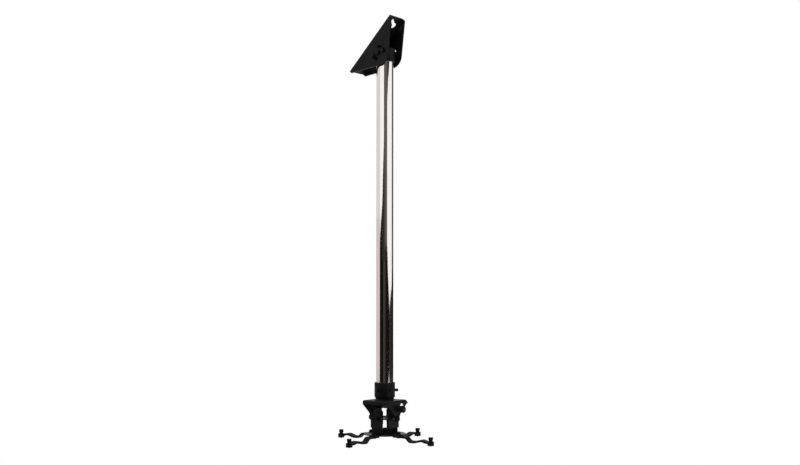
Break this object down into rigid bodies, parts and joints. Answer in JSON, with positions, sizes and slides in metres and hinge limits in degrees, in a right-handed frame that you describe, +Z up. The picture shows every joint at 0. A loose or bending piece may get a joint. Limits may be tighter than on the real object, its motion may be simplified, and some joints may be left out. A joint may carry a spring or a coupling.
{
  "type": "projector ceiling mount",
  "caption": "Hanging projector mount: folded bracket for a sloping ceiling, chrome pole, two-axis tilting head and a spider of slotted arms with thumb screws.",
  "frame": {"origin": "where the pole's centreline meets the outer face of the ceiling plate", "axes": "+Z up along the pole, +X towards the high end of the ceiling plate, ears of the bracket at -Y and +Y"},
  "size_m": [0.3396, 0.3396, 1.2225],
  "materials": {
    "black_powder": "fine satin black powder coat",
    "cast_black": "satin black paint on bent bar",
    "chrome": "bright chrome plate",
    "zinc": "bright zinc plate",
    "black_steel": "black oxide steel",
    "knob_plastic": "moulded black plastic"
  },
  "bodies": {
    "ceiling": {"ceiling_bracket": "black_powder"},
    "pole": {"pole_sleeve": "black_powder", "pole": "chrome", "tilt_bolt": "black_steel", "tilt_nut": "black_steel", "tilt_washers": "black_steel", "lock_bolts": "black_steel", "lock_nuts": "black_steel", "lock_washers": "black_steel"},
    "head": {"collar": "black_powder", "collar_long_screws": "black_steel", "collar_flush_screws": "black_steel", "head_plate": "black_powder", "pitch_bolt": "black_steel", "pitch_nut": "black_steel", "pitch_washers": "black_steel", "pitch_spacers": "zinc"},
    "gimbal": {"gimbal": "black_powder", "pitch_tube": "zinc", "roll_bolts": "black_steel", "roll_nuts": "black_steel", "roll_washers": "black_steel", "roll_lock_bolts": "black_steel", "roll_lock_nuts": "black_steel", "roll_lock_washers": "black_steel"},
    "pitch_lock": {"pitch_knob": "knob_plastic", "pitch_knob_washer": "zinc"},
    "lower_yoke": {"lower_yoke": "black_powder", "swivel_bolt": "black_steel", "swivel_washer": "black_steel", "swivel_nut": "black_steel"},
    "hub": {"hub_disc": "black_powder"},
    "clamp_right": {"clamp_bolt_right": "black_steel", "clamp_washer_right": "black_steel", "clamp_nut_right": "black_steel"},
    "arm_right": {"arm_right": "cast_black"},
    "thumb_right": {"thumb_screw_right": "black_steel"},
    "clamp_back": {"clamp_bolt_back": "black_steel", "clamp_washer_back": "black_steel", "clamp_nut_back": "black_steel"},
    "arm_back": {"arm_back": "cast_black"},
    "thumb_back": {"thumb_screw_back": "black_steel"},
    "clamp_left": {"clamp_bolt_left": "black_steel", "clamp_washer_left": "black_steel", "clamp_nut_left": "black_steel"},
    "arm_left": {"arm_left": "cast_black"},
    "thumb_left": {"thumb_screw_left": "black_steel"},
    "clamp_front": {"clamp_bolt_front": "black_steel", "clamp_washer_front": "black_steel", "clamp_nut_front": "black_steel"},
    "arm_front": {"arm_front": "cast_black"},
    "thumb_front": {"thumb_screw_front": "black_steel"}
  },
  "joints": [
    {"name": "ceiling_tilt", "type": "hinge", "parent": "ceiling", "child": "pole", "pos_m": [0, 0, -0.06647], "axis": [0, -1, 0], "range_deg": [-15, 65]},
    {"name": "head_swivel", "type": "hinge", "parent": "pole", "child": "head", "pos_m": [0, 0, -1.06247], "axis": [0, 0, 1], "continuous": true},
    {"name": "pitch", "type": "hinge", "parent": "head", "child": "gimbal", "pos_m": [0, 0, -1.11397], "axis": [1, 0, 0], "range_deg": [-15, 15]},
    {"name": "pitch_knob_turn", "type": "hinge", "parent": "gimbal", "child": "pitch_lock", "pos_m": [0.045, 0.01068, -1.08754], "axis": [1, 0, 0], "continuous": true},
    {"name": "roll", "type": "hinge", "parent": "gimbal", "child": "lower_yoke", "pos_m": [0, 0, -1.11397], "axis": [0, 1, 0], "range_deg": [-15, 15]},
    {"name": "spider_swivel", "type": "hinge", "parent": "lower_yoke", "child": "hub", "pos_m": [0, 0, -1.15747], "axis": [0, 0, 1], "continuous": true},
    {"name": "swing_right", "type": "hinge", "parent": "hub", "child": "clamp_right", "pos_m": [0.05, 0, -1.16047], "axis": [0, 0, 1], "range_deg": [-30, 30]},
    {"name": "reach_right", "type": "slide", "parent": "clamp_right", "child": "arm_right", "axis": [1, 0, 0], "range_m": [-0.016, 0.012]},
    {"name": "thumb_turn_right", "type": "hinge", "parent": "arm_right", "child": "thumb_right", "pos_m": [0.1605, 0, -1.16947], "axis": [0, 0, 1], "continuous": true},
    {"name": "swing_back", "type": "hinge", "parent": "hub", "child": "clamp_back", "pos_m": [0, 0.05, -1.16047], "axis": [0, 0, 1], "range_deg": [-30, 30]},
    {"name": "reach_back", "type": "slide", "parent": "clamp_back", "child": "arm_back", "axis": [0, 1, 0], "range_m": [-0.016, 0.012]},
    {"name": "thumb_turn_back", "type": "hinge", "parent": "arm_back", "child": "thumb_back", "pos_m": [0, 0.1605, -1.16947], "axis": [0, 0, 1], "continuous": true},
    {"name": "swing_left", "type": "hinge", "parent": "hub", "child": "clamp_left", "pos_m": [-0.05, 0, -1.16047], "axis": [0, 0, 1], "range_deg": [-30, 30]},
    {"name": "reach_left", "type": "slide", "parent": "clamp_left", "child": "arm_left", "axis": [-1, 0, 0], "range_m": [-0.016, 0.012]},
    {"name": "thumb_turn_left", "type": "hinge", "parent": "arm_left", "child": "thumb_left", "pos_m": [-0.1605, 0, -1.16947], "axis": [0, 0, 1], "continuous": true},
    {"name": "swing_front", "type": "hinge", "parent": "hub", "child": "clamp_front", "pos_m": [0, -0.05, -1.16047], "axis": [0, 0, 1], "range_deg": [-30, 30]},
    {"name": "reach_front", "type": "slide", "parent": "clamp_front", "child": "arm_front", "axis": [0, -1, 0], "range_m": [-0.016, 0.012]},
    {"name": "thumb_turn_front", "type": "hinge", "parent": "arm_front", "child": "thumb_front", "pos_m": [0, -0.1605, -1.16947], "axis": [0, 0, 1], "continuous": true}
  ]
}
